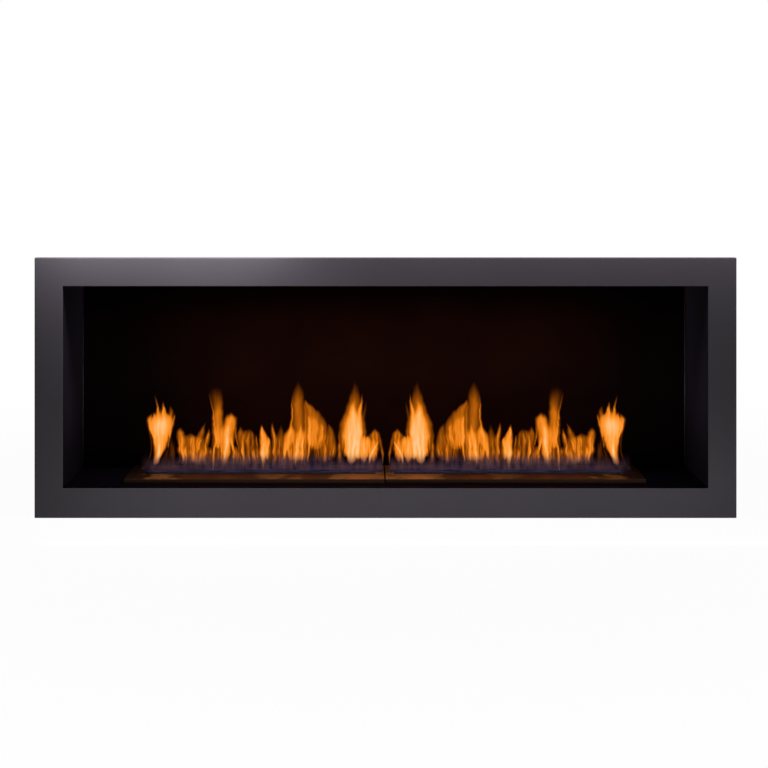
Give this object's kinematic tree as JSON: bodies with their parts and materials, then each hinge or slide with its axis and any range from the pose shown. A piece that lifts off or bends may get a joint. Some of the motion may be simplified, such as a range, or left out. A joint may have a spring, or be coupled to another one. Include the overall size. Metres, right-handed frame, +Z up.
{
  "type": "fireplace insert",
  "caption": "Long, low ethanol fireplace insert: flat surround, double-skinned firebox and drop-in burners that lift out, each with a sliding damper.",
  "frame": {"origin": "middle of the base: centred left to right and front to back, at the level that the insert stands on", "axes": "+X to the right seen from the front, -Y out of the surround's front face, +Z up"},
  "size_m": [1.65, 0.3, 0.612],
  "materials": {
    "surround_coat": "satin charcoal powder coat",
    "liner_coat": "matt black heat-resistant coat",
    "zinc_sheet": "zinc-coated sheet steel",
    "burner_steel": "satin black coated steel",
    "tank_steel": "plain stainless steel",
    "ceramic_wool": "fibrous ceramic blanket",
    "insulation_board": "matt board"
  },
  "bodies": {
    "firebox": {"front_surround": "surround_coat", "surround_bracket_lower_left": "zinc_sheet", "surround_bracket_lower_right": "zinc_sheet", "surround_bracket_upper_left": "zinc_sheet", "surround_bracket_upper_right": "zinc_sheet", "casing_left_side": "zinc_sheet", "casing_right_side": "zinc_sheet", "casing_top": "zinc_sheet", "casing_base": "zinc_sheet", "casing_back": "zinc_sheet", "liner_left_side": "liner_coat", "liner_right_side": "liner_coat", "liner_back": "liner_coat", "liner_ceiling": "liner_coat", "hearth_floor": "liner_coat", "hearth_bearer_front": "zinc_sheet", "hearth_bearer_rear": "zinc_sheet", "hearth_bearer_centre": "zinc_sheet", "base_runner_left": "zinc_sheet", "base_runner_centre": "zinc_sheet", "base_runner_right": "zinc_sheet", "back_spacer_left": "zinc_sheet", "back_spacer_right": "zinc_sheet", "top_spacer_left": "zinc_sheet", "top_spacer_right": "zinc_sheet", "ceiling_insulation_board": "insulation_board", "wall_bracket_lower_left": "zinc_sheet", "wall_bracket_lower_right": "zinc_sheet", "wall_bracket_upper_left": "zinc_sheet", "wall_bracket_upper_right": "zinc_sheet"},
    "left_burner": {"left_burner_top_plate": "burner_steel", "left_burner_fuel_tank": "tank_steel", "left_burner_ceramic_wool": "ceramic_wool", "left_burner_wool_grille": "tank_steel", "left_burner_guide_outer": "tank_steel", "left_burner_guide_inner": "tank_steel"},
    "left_damper": {"left_burner_damper": "burner_steel"},
    "right_burner": {"right_burner_top_plate": "burner_steel", "right_burner_fuel_tank": "tank_steel", "right_burner_ceramic_wool": "ceramic_wool", "right_burner_wool_grille": "tank_steel", "right_burner_guide_outer": "tank_steel", "right_burner_guide_inner": "tank_steel"},
    "right_damper": {"right_burner_damper": "burner_steel"}
  },
  "joints": [
    {"name": "left_burner_lift", "type": "slide", "parent": "firebox", "child": "left_burner", "axis": [0, 0, 1], "range_m": [0, 0.06]},
    {"name": "right_burner_lift", "type": "slide", "parent": "firebox", "child": "right_burner", "axis": [0, 0, 1], "range_m": [0, 0.06]},
    {"name": "left_damper_slide", "type": "slide", "parent": "left_burner", "child": "left_damper", "axis": [0, -1, 0], "range_m": [0, 0.0515]},
    {"name": "right_damper_slide", "type": "slide", "parent": "right_burner", "child": "right_damper", "axis": [0, -1, 0], "range_m": [0, 0.0515]}
  ]
}
